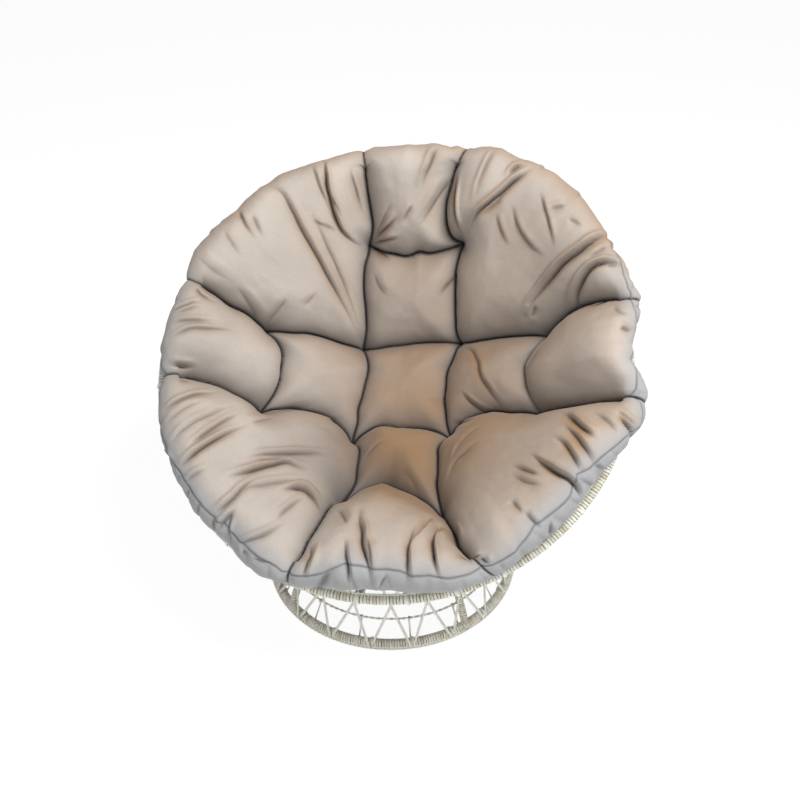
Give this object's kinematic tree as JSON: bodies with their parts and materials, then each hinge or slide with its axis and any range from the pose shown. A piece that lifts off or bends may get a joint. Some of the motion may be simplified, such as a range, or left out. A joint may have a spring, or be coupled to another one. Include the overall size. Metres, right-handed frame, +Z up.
{
  "type": "papasan chair",
  "caption": "Low round wicker base with a tilted dished bowl that turns on it, holding one thick round tufted cushion.",
  "frame": {"origin": "on the floor under the middle of the overall box", "axes": "+Z up, the front of the chair towards -Y, +X to the right seen from the front"},
  "size_m": [1.0924, 0.9306, 0.9467],
  "materials": {
    "pale_wicker": "flat pale grey-cream synthetic wicker strand wound closely round steel tube",
    "black_steel": "satin black powder coat",
    "zinc_steel": "bright zinc plate",
    "glide_plastic": "matt moulded plastic",
    "cushion_fabric": "warm grey-taupe plain woven polyester, softly creased"
  },
  "bodies": {
    "base": {"floor_ring": "pale_wicker", "base_top_ring": "pale_wicker", "base_leg_1": "pale_wicker", "floor_glide_1": "glide_plastic", "base_leg_2": "pale_wicker", "floor_glide_2": "glide_plastic", "base_leg_3": "pale_wicker", "floor_glide_3": "glide_plastic", "base_leg_4": "pale_wicker", "floor_glide_4": "glide_plastic", "base_strand_inner": "pale_wicker", "base_strand_outer": "pale_wicker", "stay_hoop": "pale_wicker", "floor_ring_binding": "pale_wicker", "base_spider": "black_steel", "lower_swivel_plate": "black_steel", "ball_race": "zinc_steel", "king_pin": "zinc_steel", "king_pin_washer": "zinc_steel", "king_pin_nut": "zinc_steel", "lower_plate_bolt_1": "zinc_steel", "lower_plate_bolt_2": "zinc_steel", "lower_plate_bolt_3": "zinc_steel", "lower_plate_bolt_4": "zinc_steel"},
    "seat": {"upper_swivel_plate": "black_steel", "seat_spider": "black_steel", "seat_ring": "black_steel", "upper_plate_bolt_1": "zinc_steel", "upper_plate_bolt_2": "zinc_steel", "upper_plate_bolt_3": "zinc_steel", "upper_plate_bolt_4": "zinc_steel", "seat_stay_front": "black_steel", "seat_stay_right": "black_steel", "seat_stay_left": "black_steel", "seat_stay_back_right": "black_steel", "seat_stay_back_left": "black_steel", "bowl_rim": "pale_wicker", "bowl_rib_1": "pale_wicker", "bowl_rib_2": "pale_wicker", "bowl_rib_3": "pale_wicker", "bowl_rib_4": "pale_wicker", "bowl_rib_5": "pale_wicker", "bowl_rib_6": "pale_wicker", "bowl_rib_7": "pale_wicker", "bowl_rib_8": "pale_wicker", "bowl_middle_ring": "pale_wicker", "bowl_bottom_ring": "pale_wicker", "rim_binding": "pale_wicker", "upper_lattice_outer": "pale_wicker", "upper_lattice_inner": "pale_wicker", "lower_lattice_outer": "pale_wicker", "lower_lattice_inner": "pale_wicker", "seat_cushion": "cushion_fabric"}
  },
  "joints": [
    {"name": "seat_swivel", "type": "hinge", "parent": "base", "child": "seat", "pos_m": [-0.00566, -0.02442, 0.18], "axis": [0, 0, 1], "continuous": true}
  ]
}
